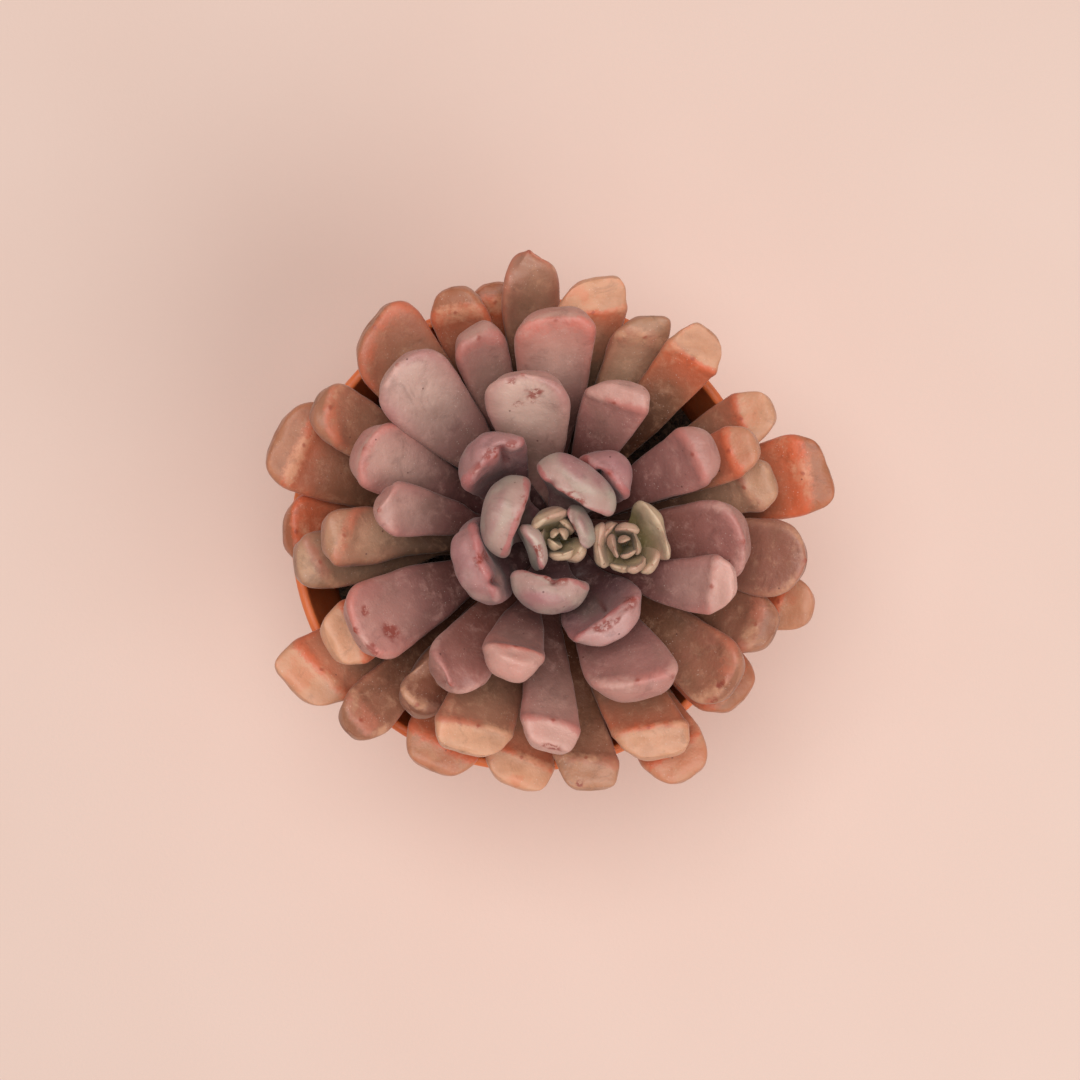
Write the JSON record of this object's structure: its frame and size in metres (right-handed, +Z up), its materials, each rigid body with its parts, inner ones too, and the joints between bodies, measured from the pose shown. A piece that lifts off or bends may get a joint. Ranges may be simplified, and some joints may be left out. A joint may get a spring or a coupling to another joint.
{
  "type": "potted succulent",
  "caption": "Rosette succulent with thick spoon-shaped leaves on a short leaning stem, with a small side rosette, in a round tapered plastic pot of soil.",
  "frame": {"origin": "centre of the pot's underside, on the surface that it stands on", "axes": "+Z up along the pot's axis, +X to the side that the side rosette grows on, +Y to the back"},
  "size_m": [0.1224, 0.1162, 0.1409],
  "materials": {
    "pot": "terracotta-orange plastic, smooth satin",
    "soil": "dark loose potting compost with fibres",
    "stem": "grey-brown bark with leaf scars",
    "outer_leaf": "fleshy olive-brown leaf with orange end, faint powdery bloom",
    "middle_leaf": "fleshy mauve-pink leaf, powdery bloom",
    "heart_leaf": "fleshy pale pink leaf with grey-green inner face, powdery bloom",
    "young_leaf": "small pale green-yellow leaf, pink edge"
  },
  "bodies": {
    "root": {"heart_bud": "young_leaf", "heart_leaf_01": "heart_leaf", "heart_leaf_02": "heart_leaf", "heart_leaf_03": "heart_leaf", "heart_leaf_04": "heart_leaf", "heart_leaf_05": "heart_leaf", "heart_leaf_06": "heart_leaf", "heart_leaf_07": "heart_leaf", "inner_leaf_01": "heart_leaf", "inner_leaf_02": "heart_leaf", "leaf_01": "outer_leaf", "leaf_02": "outer_leaf", "leaf_03": "outer_leaf", "leaf_04": "outer_leaf", "leaf_05": "outer_leaf", "leaf_06": "outer_leaf", "leaf_07": "outer_leaf", "leaf_08": "outer_leaf", "leaf_09": "outer_leaf", "leaf_10": "outer_leaf", "leaf_11": "outer_leaf", "leaf_12": "outer_leaf", "leaf_13": "outer_leaf", "leaf_14": "outer_leaf", "leaf_15": "outer_leaf", "leaf_16": "outer_leaf", "leaf_17": "outer_leaf", "leaf_18": "outer_leaf", "leaf_19": "outer_leaf", "leaf_20": "outer_leaf", "leaf_21": "outer_leaf", "leaf_22": "outer_leaf", "leaf_23": "outer_leaf", "leaf_24": "outer_leaf", "leaf_25": "outer_leaf", "leaf_26": "outer_leaf", "leaf_27": "outer_leaf", "leaf_28": "outer_leaf", "leaf_29": "outer_leaf", "leaf_30": "outer_leaf", "leaf_31": "outer_leaf", "leaf_32": "middle_leaf", "leaf_33": "middle_leaf", "leaf_34": "middle_leaf", "leaf_35": "middle_leaf", "leaf_36": "middle_leaf", "leaf_37": "middle_leaf", "leaf_38": "middle_leaf", "leaf_39": "middle_leaf", "leaf_40": "middle_leaf", "leaf_41": "middle_leaf", "leaf_42": "middle_leaf", "leaf_43": "middle_leaf", "leaf_44": "middle_leaf", "leaf_45": "middle_leaf", "leaf_46": "middle_leaf", "pot": "pot", "side_rosette": "young_leaf", "soil": "soil", "stem": "stem"}
  },
  "joints": []
}
